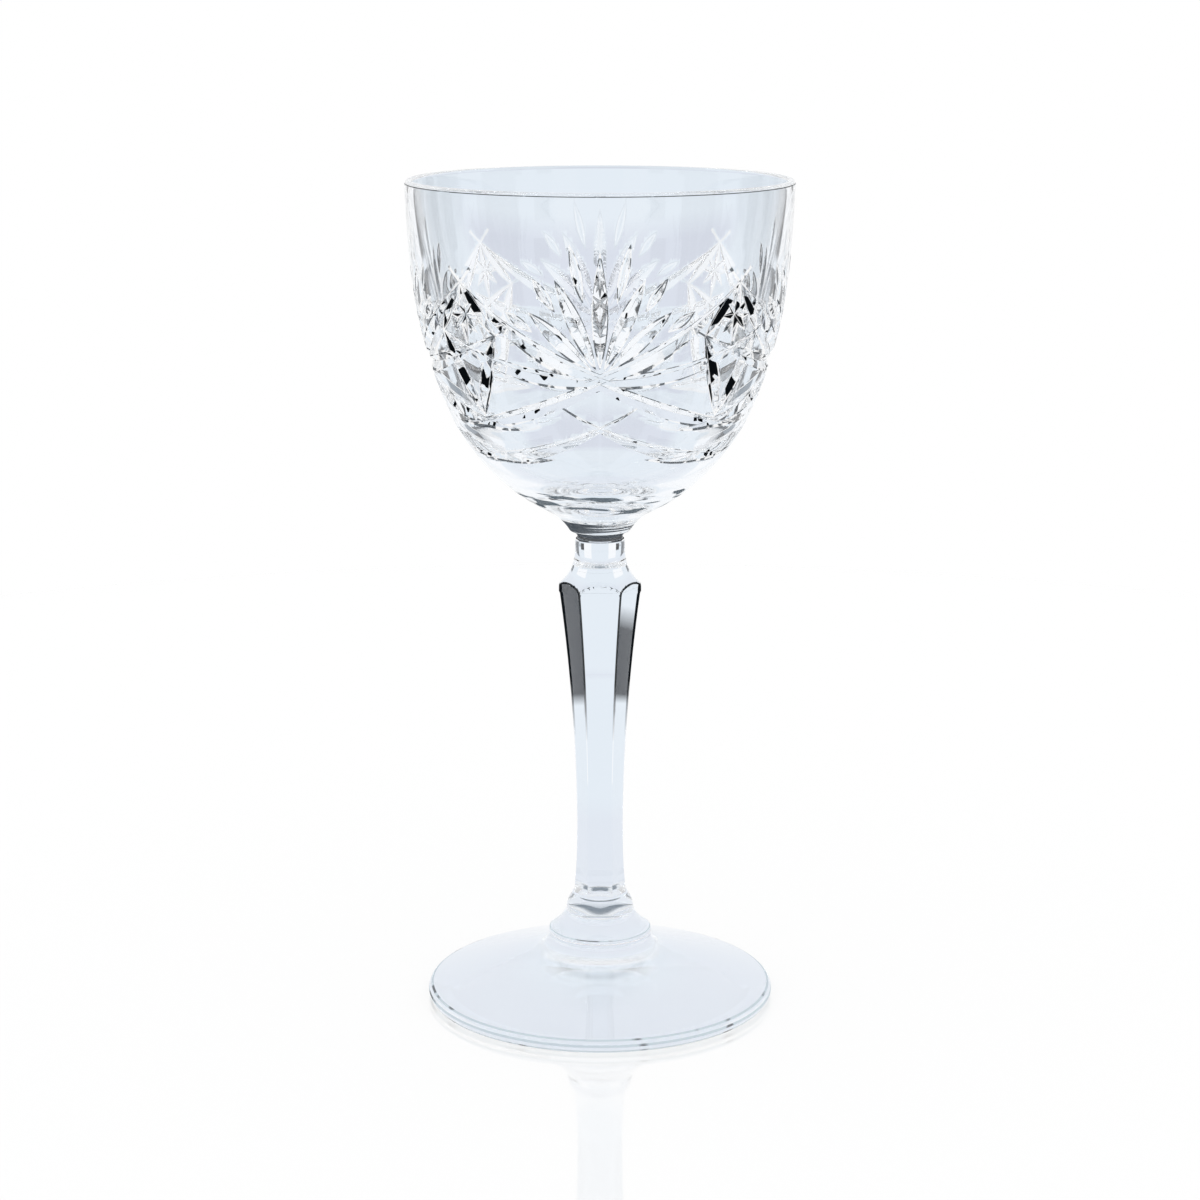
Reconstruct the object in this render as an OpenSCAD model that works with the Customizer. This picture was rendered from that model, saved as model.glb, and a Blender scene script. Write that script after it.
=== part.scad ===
// Stemmed cocktail glass in cut crystal: a deep bowl with wheel-cut fans, straps and stars,
// a drawn stem ground to six hollow panels, and a conical foot with a two-tier collar.
// Millimetres, +Z up. The origin is the middle of the circle that the foot stands on, and
// azimuth 0 is the front, at -Y, where one of the fans faces the viewer.

/* [Overall] */
// Height of the foot with its collar, up to the seam with the stem
foot_h = 21.3; // [17.5:0.1:26]
// Length of the stem between its two seams
stem_l = 73.4; // [61:0.1:89]
// Height of the bowl, from its seam with the stem to the rim
bowl_h = 70.3; // [58:0.1:85]
// Diameter of the rim, outside
rim_d = 75; // [62:0.5:90]
// Diameter of the foot
foot_d = 70; // [58:0.5:84]

/* [Bowl outside] */
// Lean of the wall at the rim, in degrees
rim_lean = 1.1; // [0:0.1:3]
// Radius of the upper wall's arc
wall_arc = 205; // [150:1:260]
// Turn of the upper wall's arc, in degrees
wall_turn = 4.9; // [3:0.1:7]
// Radius of the belly's arc
belly_arc = 90; // [75:1:110]
// Turn of the belly's arc, in degrees
belly_turn = 16.65; // [13:0.05:20]
// Radius where the bowl's bottom turns into the flare of its button
flare_radius = 10.35; // [9:0.05:12]
// Height of that turn over the seam
flare_rise = 5.7; // [4.8:0.1:7]
// Diameter of the button under the bowl
button_d = 12.2; // [11:0.1:14]
// Height of the button's lower lip over the seam
button_rise = 1.8; // [1.5:0.1:2.2]
// Radius of the button's lip
lip_round = 0.8; // [0.4:0.1:1]

/* [Bowl inside] */
// Thickness of the wall at the rim
rim_wall = 1.5; // [1.2:0.1:2]
// Thickness of the wall at the height of a fan's middle, measured level
wall_t = 3.68; // [3.1:0.02:4.2]
// Lean of the inside at the rim, in degrees
inside_lean = 3.5; // [2:0.1:5]
// Glass under the floor of the bowl, down to the seam
floor_t = 8.9; // [7.4:0.1:11]

/* [Cutting] */
// Half of the angle of the mitre wheel's edge, in degrees
mitre_half = 52; // [45:1:60]
// Depth of the long leaves of a fan
leaf_depth = 1.1; // [0.8:0.05:1.3]
// Depth of the short leaves between the tips of the long ones
tip_depth = 0.8; // [0.6:0.05:1]
// Depth of the straps and swags
strap_depth = 1.05; // [0.8:0.05:1.25]
// Depth of the lines of a star
star_depth = 0.6; // [0.4:0.05:0.8]
// Drop from the rim to the middle of a fan
fan_drop = 34.1; // [31:0.1:37]
// Drop from the rim to the peak of a star panel
peak_drop = 17.1; // [15:0.1:19]
// Drop from the rim to the lowest point of the swags
swag_drop = 50.6; // [48:0.1:52]
// Half of a star panel's width at its shoulders, in degrees round the bowl
panel_half = 11.5; // [9:0.5:13]
// Height of a panel's shoulders over the middle of a fan
panel_rise = 7.4; // [6:0.1:9]
// Drop from the middle of a fan to the foot of a panel
panel_fall = 8.2; // [7:0.1:10]
// Drop from a panel's peak to the middle of its star
star_drop = 6.1; // [5:0.1:7]
// How far the falling straps run on past a panel's middle, in degrees round the bowl
strap_run = 14.4; // [10:0.1:18]
// How far the swags run on past a panel's middle, in degrees round the bowl
swag_run = 24.3; // [18:0.1:28]

/* [Stem] */
// Depth of the groove at the upper seam, under the neck's own radius
seam_groove = 0.55; // [0.3:0.05:0.8]
// Diameter of the round neck
neck_d = 9.9; // [9:0.1:11]
// Radius of the flare from the neck to the shoulder
neck_flare = 9.5; // [8.5:0.1:11]
// Drop from the upper seam to the shoulder's edge
shoulder_drop = 9.8; // [9:0.1:11]
// Diameter of the round shoulder
shoulder_d = 16.3; // [15:0.1:18]
// Radius of the shoulder's edge
shoulder_round = 0.9; // [0.5:0.1:1.3]
// Size across the flats at the waist
waist_flats = 8.2; // [7:0.1:10]
// Height of the waist over the lower seam
waist_rise = 11.7; // [9:0.1:15]
// How much wider the flats stand at the shoulder than at the waist
shoulder_spread = 6.1; // [4:0.1:7]
// How much wider the flats stand at the lower seam than at the waist
end_spread = 1.1; // [0.5:0.1:2]

/* [Foot] */
// Ledge round the corners of the stem on the collar's flat top
collar_ledge = 0.23; // [0.1:0.01:0.6]
// How far the upper tier of the collar bulges out past its flat top
upper_tier_bulge = 1.2; // [0.6:0.1:2]
// Height of the upper tier
upper_tier_h = 3.5; // [3:0.1:4]
// Diameter of the lower tier of the collar
lower_tier_d = 20.8; // [18:0.1:24]
// Drop from the seam to the edge of the lower tier
lower_tier_drop = 7.8; // [7:0.1:9]
// Radius of the lower tier's edge
lower_tier_round = 0.9; // [0.5:0.1:1.3]
// Radius of the hollow between the lower tier and the slope of the foot
collar_hollow = 4.5; // [3:0.1:6]
// Thickness of the foot's rounded edge
edge_t = 2.8; // [2.2:0.1:3.4]
// Width of the ring that the foot stands on
rest_w = 3.4; // [2:0.1:6]
// Rise of the hollow under the foot
kick_up = 1.2; // [0.6:0.1:2]

/* [Hidden] */
$fn = 128;

glass = [0.86, 0.91, 0.95];
seam_low = foot_h;
seam_high = foot_h + stem_l;
rim_z = seam_high + bowl_h;
fan_z = rim_z - fan_drop;
rim_r = rim_d / 2;
foot_r = foot_d / 2;
panels = 6;
repeats = 4;
repeat = 360 / repeats;
half = repeat / 2;

// Points along a circular arc in equal steps, without its first point, where the outline already is
function arc(c, r, from, to, steps) =
    [for (i = [1:steps]) let (a = from + (to - from) * i / steps) c + r * [cos(a), sin(a)]];
// Unit vector from a leaning wall towards the inside of its arc
function inward(lean) = [-cos(lean), sin(lean)];
// Radius of the circle that leaves a point at right angles to side and passes through another point
function tangent_radius(from, side, to) = (to - from) * (to - from) / (2 * ((to - from) * side));
// Direction from one point to another in a profile, in degrees
function heading(from, to) = atan2(to.y - from.y, to.x - from.x);
function unit(v) = v / norm(v);

// Outside of the bowl: three arcs, each tangent to the last, from the rim to the button's flare
rim_round = rim_wall / 2;
rim_c = [rim_r - rim_round, rim_z - rim_round];
rim_point = rim_c - rim_round * inward(rim_lean);
wall_c = rim_point + wall_arc * inward(rim_lean);
wall_lean = rim_lean + wall_turn;
wall_end = wall_c - wall_arc * inward(wall_lean);
belly_c = wall_end + belly_arc * inward(wall_lean);
belly_lean = wall_lean + belly_turn;
belly_end = belly_c - belly_arc * inward(belly_lean);
flare_point = [flare_radius, seam_high + flare_rise];
bottom_arc = tangent_radius(belly_end, inward(belly_lean), flare_point);
bottom_c = belly_end + bottom_arc * inward(belly_lean);
bottom_lean = -heading(bottom_c, flare_point);

// Button: a hollow flare, a rounded lip, and a groove that ends at the seam
lip_point = [button_d / 2, seam_high + button_rise];
flare_arc = tangent_radius(flare_point, -inward(bottom_lean), lip_point);
flare_c = flare_point - flare_arc * inward(bottom_lean);
lip_lean = 180 - heading(flare_c, lip_point);
lip_c = lip_point + lip_round * inward(lip_lean);
lip_end_lean = 78;
lip_end = lip_c - lip_round * inward(lip_end_lean);
seam_point = [neck_d / 2 - seam_groove, seam_high];
groove_arc = tangent_radius(seam_point, [1, 0], lip_end);
groove_c = seam_point + [groove_arc, 0];

// Inside of the bowl: a wall arc from the rim that follows the outside and runs into a round floor
rim_inside = rim_c + rim_round * inward(inside_lean);
inside_point = [skin_r(fan_z) - wall_t, fan_z];
inside_arc = tangent_radius(rim_inside, inward(inside_lean), inside_point);
inside_c = rim_inside + inside_arc * inward(inside_lean);
floor_gap = [0, seam_high + floor_t] - inside_c;
floor_arc = (inside_arc ^ 2 - floor_gap * floor_gap) / (2 * (inside_arc + floor_gap.y));
floor_c = [0, seam_high + floor_t + floor_arc];
floor_lean = -heading(inside_c, floor_c);

// Stem: heights of its shoulder and waist, and the hollow flare that joins neck and shoulder
shoulder_r = shoulder_d / 2;
shoulder_z = seam_high - shoulder_drop;
waist_z = seam_low + waist_rise;
shoulder_flats = waist_flats + shoulder_spread;
end_flats = waist_flats + end_spread;
shoulder_c = [shoulder_r - shoulder_round, shoulder_z];
flare_gap = neck_d / 2 + neck_flare - shoulder_c.x;
shoulder_turn = acos(flare_gap / (neck_flare + shoulder_round));
neck_c = shoulder_c + (neck_flare + shoulder_round) * [cos(shoulder_turn), sin(shoulder_turn)];
neck_round = 0.5;
neck_top_c = [neck_d / 2 - neck_round, seam_high - neck_round];
neck_top_turn = 60;

// Foot: a bulging upper tier, a flared lower tier, a hollow, a straight slope and a round edge
collar_point = [end_flats / 2 / cos(180 / panels) + collar_ledge, seam_low];
tier_point = collar_point + [upper_tier_bulge, -upper_tier_h];
tier_arc = tangent_radius(tier_point, [-1, 0], collar_point);
tier_c = tier_point - [tier_arc, 0];
ledge_turn = 58;
ledge_c = [lower_tier_d / 2 - lower_tier_round, seam_low - lower_tier_drop];
ledge_point = ledge_c + lower_tier_round * [cos(ledge_turn), sin(ledge_turn)];
ledge_arc = tangent_radius(ledge_point, [cos(ledge_turn), sin(ledge_turn)], tier_point);
ledge_flare_c = ledge_point + ledge_arc * [cos(ledge_turn), sin(ledge_turn)];
hollow_c = [lower_tier_d / 2 + collar_hollow, ledge_c.y];
edge_round = edge_t / 2;
edge_c = [foot_r - edge_round, edge_round];
slope = heading(hollow_c, edge_c) + asin((collar_hollow + edge_round) / norm(edge_c - hollow_c));
rest_r = edge_c.x - rest_w;
kick_arc = (rest_r ^ 2 + kick_up ^ 2) / (2 * kick_up);
kick_turn = asin(rest_r / kick_arc);

// Outer surface of the bowl at a height: its arc, radius and outward normal
function skin_c(z) = z > wall_end.y ? wall_c : z > belly_end.y ? belly_c : bottom_c;
function skin_arc(z) = z > wall_end.y ? wall_arc : z > belly_end.y ? belly_arc : bottom_arc;
function skin_r(z) = skin_c(z).x + sqrt(skin_arc(z) ^ 2 - (z - skin_c(z).y) ^ 2);
function skin_normal(az, z) =
    let (s = (z - skin_c(z).y) / skin_arc(z), k = sqrt(1 - s * s)) [k * sin(az), -k * cos(az), s];
// Point under the skin, from [azimuth, height, depth]
function sunk(p) = [skin_r(p.y) * sin(p.x), -skin_r(p.y) * cos(p.x), p.y] - p.z * skin_normal(p.x, p.y);

// The cuts. Each is three points [azimuth, height, depth], and the wheel's edge passes through them.
peak_rise = fan_drop - peak_drop;
swag_fall = swag_drop - fan_drop;
star_z = rim_z - peak_drop - star_drop;
panel_mid = half - panel_half / 2;
panel_shoulder = [half - panel_half, panel_rise, 0];
// Distance from the middle of a fan to the near ends of its long and short leaves
leaf_start = 2.4;
tip_start = 15;
// Long leaves: angle from upright and length from the fan's middle
long_leaves = [[0, 22.8], [22.4, 19.4], [45.2, 17.1]];
// Short leaves, the same
short_leaves = [[11.4, 25], [31.6, 21.5], [54, 20.5]];
// Half lengths of a star's upright, level and slanting lines
star_upright = 5.6;
star_level = 3.7;
star_slant = 4;

// Point at a distance and angle from a fan's middle, measured on the wall
function fan_point(reach, angle, depth) =
    [reach * sin(angle) / skin_r(fan_z) * 180 / PI, fan_z + reach * cos(angle), depth];
function leaf(angle, from, to, depth) =
    [fan_point(from, angle, 0), fan_point((from + to) / 2, angle, depth), fan_point(to, angle, 0)];
function star_line(angle, reach) =
    let (wide = reach * sin(angle) / skin_r(star_z) * 180 / PI, high = reach * cos(angle))
    [[half - wide, star_z - high, 0], [half, star_z, star_depth], [half + wide, star_z + high, 0]];
// A cut and its mirror image about the fan's middle
function both(cut) = [cut, [for (p = cut) [-p.x, p.y, p.z]]];

// Straps, panel edges and swags, each made with its mirror image. They are written as azimuth, height
// over the middle of a fan, and part of the full depth, which is less where a strap ends in a crossing.
function strap(points) = [for (p = points) [p.x, fan_z + p.y, strap_depth * p.z]];
rising_strap = strap([[-half - 2, peak_rise + 1, 0], [-half / 2, 6.1, 1], [2, -0.5, 0.8]]);
falling_strap = strap([[-4, -0.2, 0.6], [28, -7.6, 1], [half + strap_run, -10.6, 0]]);
level_strap = strap([[-3, -0.5, 0.5], [26, 0.8, 1], [half + panel_half, panel_rise, 0]]);
panel_peak = strap([[half, peak_rise, 0], [panel_mid, (peak_rise + panel_rise) / 2, 0.8], panel_shoulder]);
panel_side = strap([panel_shoulder, [panel_mid, -0.4, 1], [half, -panel_fall, 0]]);
swag = strap([[-9.7, 9.6 - swag_fall, 0], [30, 0.8 - swag_fall, 1], [half + swag_run, -swag_fall, 0]]);

function both_leaves(l, from, depth) = both(leaf(l.x, from, l.y, depth));
short_cuts = [for (l = short_leaves) each both_leaves(l, tip_start, tip_depth)];
// The cuts of one repeat, in passes: the leaves and star lines first, then the straps over them
passes = concat(
    [concat(short_cuts, [star_line(-45, star_slant)])],
    [concat(both_leaves(long_leaves[2], leaf_start, leaf_depth), [star_line(45, star_slant)])],
    [concat(both_leaves(long_leaves[1], leaf_start, leaf_depth), [star_line(90, star_level)])],
    [[leaf(0, leaf_start, long_leaves[0].y, leaf_depth), star_line(0, star_upright)]],
    [for (cut = [panel_peak, panel_side, rising_strap, falling_strap, level_strap, swag]) both(cut)]
);

// How far a wheel stands out of the glass, and how far it runs on past a cut's ends
proud = 0.6;
run_out = 0.12;

// Edge of the mitre wheel on its way through one cut
module mitre(cut) {
    a = sunk(cut[0]);
    m = sunk(cut[1]);
    b = sunk(cut[2]);
    axis = cross(m - a, b - a);
    middle = a + (cross(axis, m - a) * ((b - a) * (b - a)) + cross(b - a, axis) * ((m - a) * (m - a)))
        / (2 * axis * axis);
    reach = norm(m - middle);
    w = unit(axis);
    u = (m - middle) / reach;
    v = cross(w, u);
    start = atan2((a - middle) * v, (a - middle) * u) * (1 + run_out);
    end = atan2((b - middle) * v, (b - middle) * u) * (1 + run_out);
    out = skin_normal(cut[1].x, cut[1].y);
    open = atan2(out * w, out * u);
    flank = (cut[1].z + proud) / cos(mitre_half);
    multmatrix([for (i = [0:2]) [u[i], v[i], w[i], middle[i]]])
        rotate([0, 0, start])
            rotate_extrude(angle = end - start)
                polygon([
                    [reach, 0],
                    [reach, 0] + flank * [cos(open - mitre_half), sin(open - mitre_half)],
                    [reach, 0] + flank * [cos(open + mitre_half), sin(open + mitre_half)]
                ]);
}

// The bowl as it is blown, before it is cut
module bowl_blank() {
    rotate_extrude()
        polygon(concat(
            [[0, seam_high], seam_point],
            arc(groove_c, groove_arc, 180, heading(groove_c, lip_end), 4),
            arc(lip_c, lip_round, -lip_end_lean, -lip_lean, 4),
            arc(flare_c, flare_arc, 180 - lip_lean, 180 - bottom_lean, 4),
            arc(bottom_c, bottom_arc, -bottom_lean, -belly_lean, 7),
            arc(belly_c, belly_arc, -belly_lean, -wall_lean, 5),
            arc(wall_c, wall_arc, -wall_lean, -rim_lean, 2),
            arc(rim_c, rim_round, -rim_lean, 180 - inside_lean, 6),
            arc(inside_c, inside_arc, -inside_lean, -floor_lean, 5),
            arc(floor_c, floor_arc, -floor_lean, -90, 8)
        ));
}

// The bowl after its first passes, each made at every repeat of the pattern
module cut_bowl(done) {
    if (done == 0) {
        bowl_blank();
    } else {
        difference() {
            cut_bowl(done - 1);
            for (i = [0:repeats - 1], cut = passes[done - 1]) {
                rotate([0, 0, i * repeat]) mitre(cut);
            }
        }
    }
}

module bowl() {
    color(glass) cut_bowl(len(passes));
}

// Half of a panel's cutter, from the waist away: the drum of a grinding wheel, in local X outwards
module wheel_drum(flats, rise) {
    depth = (flats - waist_flats) / 2;
    wheel = (rise ^ 2 + depth ^ 2) / (2 * depth);
    intersection() {
        translate([waist_flats / 2 + wheel, 0, 0])
            rotate([90, 0, 0]) cylinder(r = wheel, h = shoulder_d, center = true, $fn = 256);
        translate([0, -shoulder_d, 0]) cube([shoulder_d, 2 * shoulder_d, rise + shoulder_d]);
    }
}

// Cutter of one hollow panel, over the whole stem
module panel() {
    translate([0, 0, waist_z]) {
        wheel_drum(shoulder_flats, shoulder_z - waist_z);
        mirror([0, 0, 1]) wheel_drum(end_flats, waist_rise);
    }
}

// The stem as it is drawn, before it is ground: neck, flare, and a round bar to the lower seam
module stem_blank() {
    rotate_extrude()
        polygon(concat(
            [[0, seam_low], [shoulder_r, seam_low], [shoulder_r, shoulder_z]],
            arc(shoulder_c, shoulder_round, 0, shoulder_turn, 4),
            arc(neck_c, neck_flare, 180 + shoulder_turn, 180, 6),
            [neck_top_c + [neck_round, 0]],
            arc(neck_top_c, neck_round, 0, neck_top_turn, 3),
            [seam_point, [0, seam_high]]
        ));
}

// The stem after some of its panels, which are ground in opposite pairs
module ground_stem(pairs) {
    if (pairs == 0) {
        stem_blank();
    } else {
        difference() {
            ground_stem(pairs - 1);
            for (side = [0, 180]) {
                rotate([0, 0, side + pairs * 360 / panels - 90]) panel();
            }
        }
    }
}

module stem() {
    color(glass) ground_stem(panels / 2);
}

module foot() {
    color(glass)
        rotate_extrude()
            polygon(concat(
                [[0, seam_low], collar_point],
                arc(tier_c, tier_arc, heading(tier_c, collar_point), 0, 4),
                arc(ledge_flare_c, ledge_arc, heading(ledge_flare_c, tier_point) + 360, 180 + ledge_turn, 5),
                arc(ledge_c, lower_tier_round, ledge_turn, 0, 4),
                arc(hollow_c, collar_hollow, 180, 270 + slope, 6),
                [edge_c + edge_round * [cos(90 + slope), sin(90 + slope)]],
                arc(edge_c, edge_round, 90 + slope, -90, 8),
                [[rest_r, 0]],
                arc([0, kick_up - kick_arc], kick_arc, 90 - kick_turn, 90, 6)
            ));
}

bowl();
stem();
foot();
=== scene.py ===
# %% [markdown]
# A stemmed cocktail glass in cut crystal. A glassmaker joins three gathers of hot glass, a bowl, a
# drawn stem and a foot, and a cutter then grinds the pattern into the cold bowl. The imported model
# holds the same three pieces at their real size, so this lesson loads it first and takes its main
# sizes from it. Each piece is then made again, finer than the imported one, in the same place.

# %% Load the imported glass
import math
import bmesh
import bpy
from collections import namedtuple
from mathutils import Matrix, Vector


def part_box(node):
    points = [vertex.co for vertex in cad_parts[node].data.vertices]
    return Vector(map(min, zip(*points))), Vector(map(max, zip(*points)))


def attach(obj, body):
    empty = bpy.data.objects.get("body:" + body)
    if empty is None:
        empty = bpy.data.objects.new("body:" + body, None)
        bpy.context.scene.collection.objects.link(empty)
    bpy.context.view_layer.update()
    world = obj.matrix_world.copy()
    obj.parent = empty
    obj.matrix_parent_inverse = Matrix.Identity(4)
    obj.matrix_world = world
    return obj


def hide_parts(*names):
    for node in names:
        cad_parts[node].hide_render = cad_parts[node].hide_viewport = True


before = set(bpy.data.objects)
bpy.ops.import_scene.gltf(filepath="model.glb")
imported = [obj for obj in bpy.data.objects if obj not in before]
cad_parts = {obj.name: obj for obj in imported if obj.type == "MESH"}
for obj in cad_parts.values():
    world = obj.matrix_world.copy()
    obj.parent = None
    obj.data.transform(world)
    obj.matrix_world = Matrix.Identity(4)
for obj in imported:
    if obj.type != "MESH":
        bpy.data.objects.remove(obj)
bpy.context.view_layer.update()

MM = 0.001
foot_low, foot_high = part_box("foot")
stem_low, stem_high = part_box("stem")
bowl_low, bowl_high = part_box("bowl")
foot_r = foot_high.x / MM
rim_r = bowl_high.x / MM
seam_low = stem_low.z / MM
seam_high = stem_high.z / MM
rim_z = bowl_high.z / MM
print(f"foot radius {foot_r:.1f}, standing at {foot_low.z / MM:.1f} mm")
print(f"seams at {seam_low:.1f} and {seam_high:.1f}, bowl from {bowl_low.z / MM:.1f} mm")
print(f"rim radius {rim_r:.1f} at {rim_z:.1f} mm")

# %% [markdown]
# Each of the three pieces starts on the lathe: half of its outline is turned round the upright axis.
# A Screw modifier would do it too. Here one vertex is extruded from point to point, which draws the
# outline as a pencil would, and the Spin tool turns it. The points come from arcs, so the lesson
# needs a few small functions for arcs that run smoothly into each other. All of them work in
# millimetres, as (radius, height).

# %% Functions for a smooth outline
def at(radius, height):
    """A point of an outline."""
    return Vector((radius, height))


def arc(centre, radius, start, end, steps):
    """Points along an arc, in degrees, without the first, where the outline already is."""
    angles = [math.radians(start + (end - start) * i / steps) for i in range(1, steps + 1)]
    return [centre + radius * Vector((math.cos(a), math.sin(a))) for a in angles]


def inward(lean):
    """Direction from a wall that leans this many degrees towards the middle of its arc."""
    return Vector((-math.cos(math.radians(lean)), math.sin(math.radians(lean))))


def tangent_radius(start, side, end):
    """Radius of the circle that leaves start at right angles to side and passes through end."""
    return (end - start).length_squared / (2 * (end - start).dot(side))


def heading(start, end):
    """Direction from one point to another, in degrees."""
    return math.degrees(math.atan2(end.y - start.y, end.x - start.x))


quarter_circle = arc(at(0, 0), 1, 0, 90, 2)
print("a quarter circle in two steps ends at", [round(value, 3) for value in quarter_circle[-1]])

# %% [markdown]
# Blender's tools act on everything that is selected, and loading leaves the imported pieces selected.
# With a mouse, one would click on a piece. In a script, each step deselects everything and then
# selects its own piece, so that no tool reaches another one.

# %% Work on one piece
def start_alone():
    """Leaves edit mode and deselects everything, so that the next tool acts on its own piece."""
    if bpy.context.object and bpy.context.object.mode != "OBJECT":
        bpy.ops.object.mode_set(mode="OBJECT")
    bpy.ops.object.select_all(action="DESELECT")


def take(piece):
    """Makes a piece the only selected one, and the active one."""
    start_alone()
    piece.select_set(True)
    bpy.context.view_layer.objects.active = piece


start_alone()
print("pieces selected now:", len(bpy.context.selected_objects))

# %% [markdown]
# The lathe itself. A spun outline meets itself after a full turn, and on the axis many vertices lie
# on one spot, so the doubles are merged before the faces are turned outwards. Light that passes
# through glass needs closed walls with their outside out.

# %% The lathe
merge_under = MM / 1000


def draw(name, points):
    """Starts a piece and draws a line through points in metres, by extruding one vertex."""
    start_alone()
    bpy.ops.mesh.primitive_plane_add(size=MM)
    piece = bpy.context.object
    piece.name = piece.data.name = name
    bpy.ops.object.mode_set(mode="EDIT")
    bpy.ops.mesh.merge(type="CENTER")
    bpy.ops.transform.translate(value=points[0])
    for last, point in zip(points, points[1:]):
        bpy.ops.mesh.extrude_region_move(TRANSFORM_OT_translate={"value": point - last})
    return piece


def clean():
    """Merges doubled vertices and turns the faces outwards, then leaves edit mode."""
    bpy.ops.mesh.select_all(action="SELECT")
    bpy.ops.mesh.remove_doubles(threshold=merge_under)
    bpy.ops.mesh.normals_make_consistent(inside=False)
    bpy.ops.object.mode_set(mode="OBJECT")


def turn(name, outline, segments):
    """A piece turned round Z from an outline in millimetres."""
    piece = draw(name, [Vector((p.x, 0, p.y)) * MM for p in outline])
    bpy.ops.mesh.select_all(action="SELECT")
    bpy.ops.mesh.spin(steps=segments, angle=math.tau, center=(0, 0, 0), axis=(0, 0, 1))
    clean()
    return piece


print(f"vertices closer than {merge_under / MM} mm become one")

# %% [markdown]
# The whole glass is one clear crystal, and only the finish of its surface differs: fire-polished, cut
# and acid-polished, or ground, with painted light and shade on some strips, bands and facets. A finish
# is a net of nodes, which could be put together by hand in the shader editor. Here one function adds a
# node with its settings and links, so that each finish reads from top to bottom. Colours are written
# as a screen shows them, and one function turns them to the linear light that Blender works with.

# %% Colours and nodes
def linear(code):
    """A colour written as sRGB hex, as Blender's linear colour."""
    parts = [int(code[i : i + 2], 16) / 255 for i in (1, 3, 5)]
    return (*[p / 12.92 if p <= 0.04045 else ((p + 0.055) / 1.055) ** 2.4 for p in parts], 1)


def add(tree, kind, inputs=None, **settings):
    """Adds a node and gives its outputs. inputs sets a socket, or links it to another output."""
    node = tree.nodes.new(kind)
    for name, value in settings.items():
        setattr(node, name, value)
    for name, value in (inputs or {}).items():
        if isinstance(value, bpy.types.NodeSocket):
            tree.links.new(value, node.inputs[name])
        else:
            node.inputs[name].default_value = value
    return node.outputs


def empty_tree(holder):
    """The node tree of a material or world, with nothing in it."""
    holder.use_nodes = True
    holder.node_tree.nodes.clear()
    return holder.node_tree


def start_material(name):
    """A new material, its node tree and the place of the shaded point on the glass."""
    material = bpy.data.materials.new(name)
    tree = empty_tree(material)
    return material, tree, add(tree, "ShaderNodeTexCoord")["Object"]


print("mid grey on a screen is", round(linear("#808080")[0], 3), "in linear light")

# %% [markdown]
# Fire-polishing melts the skin of the glass, so it is as smooth as a liquid, with the slow waves that
# blowing and drawing leave. The waves could be modelled, but they are only a hundredth of a
# millimetre high and don't show in the outline, so a bump is enough for them. The index of 1.54 is
# that of a light crystal, which bends light more than window glass does.

# %% Fire-polished crystal
crystal_ior = 1.54
# Length and height of the waves, in millimetres
blown_waves = (16, 0.01)


def polished(tree, place, wave_mm, wave_height_mm):
    """Clear polished glass, with the slight waviness that its making leaves."""
    waves = {"Vector": place, "Scale": 1 / (wave_mm * MM), "Detail": 1}
    height = add(tree, "ShaderNodeTexNoise", waves)["Fac"]
    bump = {"Height": height, "Strength": 1, "Distance": wave_height_mm * MM}
    glass = {
        "Base Color": linear("#FFFFFF"),
        "Transmission Weight": 1,
        "IOR": crystal_ior,
        "Roughness": 0,
        "Normal": add(tree, "ShaderNodeBump", bump)["Normal"],
    }
    return add(tree, "ShaderNodeBsdfPrincipled", glass)["BSDF"]


def crystal(name, wave_mm, wave_height_mm):
    """Fire-polished crystal."""
    material, tree, place = start_material(name)
    glass = polished(tree, place, wave_mm, wave_height_mm)
    add(tree, "ShaderNodeOutputMaterial", {"Surface": glass})
    return material


# Clear all through, with an image behind it that swims a little
blown_material = crystal("blown_crystal_fire_polished", *blown_waves)
print("finish of the bowl's skin:", blown_material.name)

# %% [markdown]
# The bowl as it is blown, before any cutting. Its outside is three arcs from the rim down to the
# flare of a small button, where the stem is joined, and its inside is one long arc that runs into a
# round floor. It could be sculpted from a sphere, but arcs keep the wall as smooth as blown glass,
# and their tangents make sure that no kink shows in the light.

# %% Outside of the bowl
rim_lean = 1.1
rim_round = 0.75
wall_arc = 205
wall_turn = 4.9
belly_arc = 90
belly_turn = 16.65
flare_point = at(10.35, seam_high + 5.7)

rim_centre = at(rim_r - rim_round, rim_z - rim_round)
rim_point = rim_centre - rim_round * inward(rim_lean)
wall_centre = rim_point + wall_arc * inward(rim_lean)
wall_lean = rim_lean + wall_turn
wall_end = wall_centre - wall_arc * inward(wall_lean)
belly_centre = wall_end + belly_arc * inward(wall_lean)
belly_lean = wall_lean + belly_turn
belly_end = belly_centre - belly_arc * inward(belly_lean)
bottom_arc = tangent_radius(belly_end, inward(belly_lean), flare_point)
bottom_centre = belly_end + bottom_arc * inward(belly_lean)
bottom_lean = -heading(bottom_centre, flare_point)


def skin(height):
    """Centre and radius of the outline's arc at this height."""
    if height > wall_end.y:
        return wall_centre, wall_arc
    if height > belly_end.y:
        return belly_centre, belly_arc
    return bottom_centre, bottom_arc


def skin_radius(height):
    """Radius of the bowl at this height."""
    centre, radius = skin(height)
    return centre.x + math.sqrt(radius**2 - (height - centre.y) ** 2)


print(f"arcs of the outside: wall {wall_arc}, belly {belly_arc}, bottom {bottom_arc:.1f} mm")

# %% [markdown]
# The button is a short flare under the bowl that ends in a rounded lip, with a groove between the lip
# and the seam. It is what is left of the gather where the stem was joined. It could be a ring of
# its own, but on the real glass it is one with the bowl, so it is part of the same outline.

# %% Button under the bowl
lip_point = at(6.1, seam_high + 1.8)
lip_round = 0.8
lip_end_lean = 78
seam_point = at(4.4, seam_high)

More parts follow.
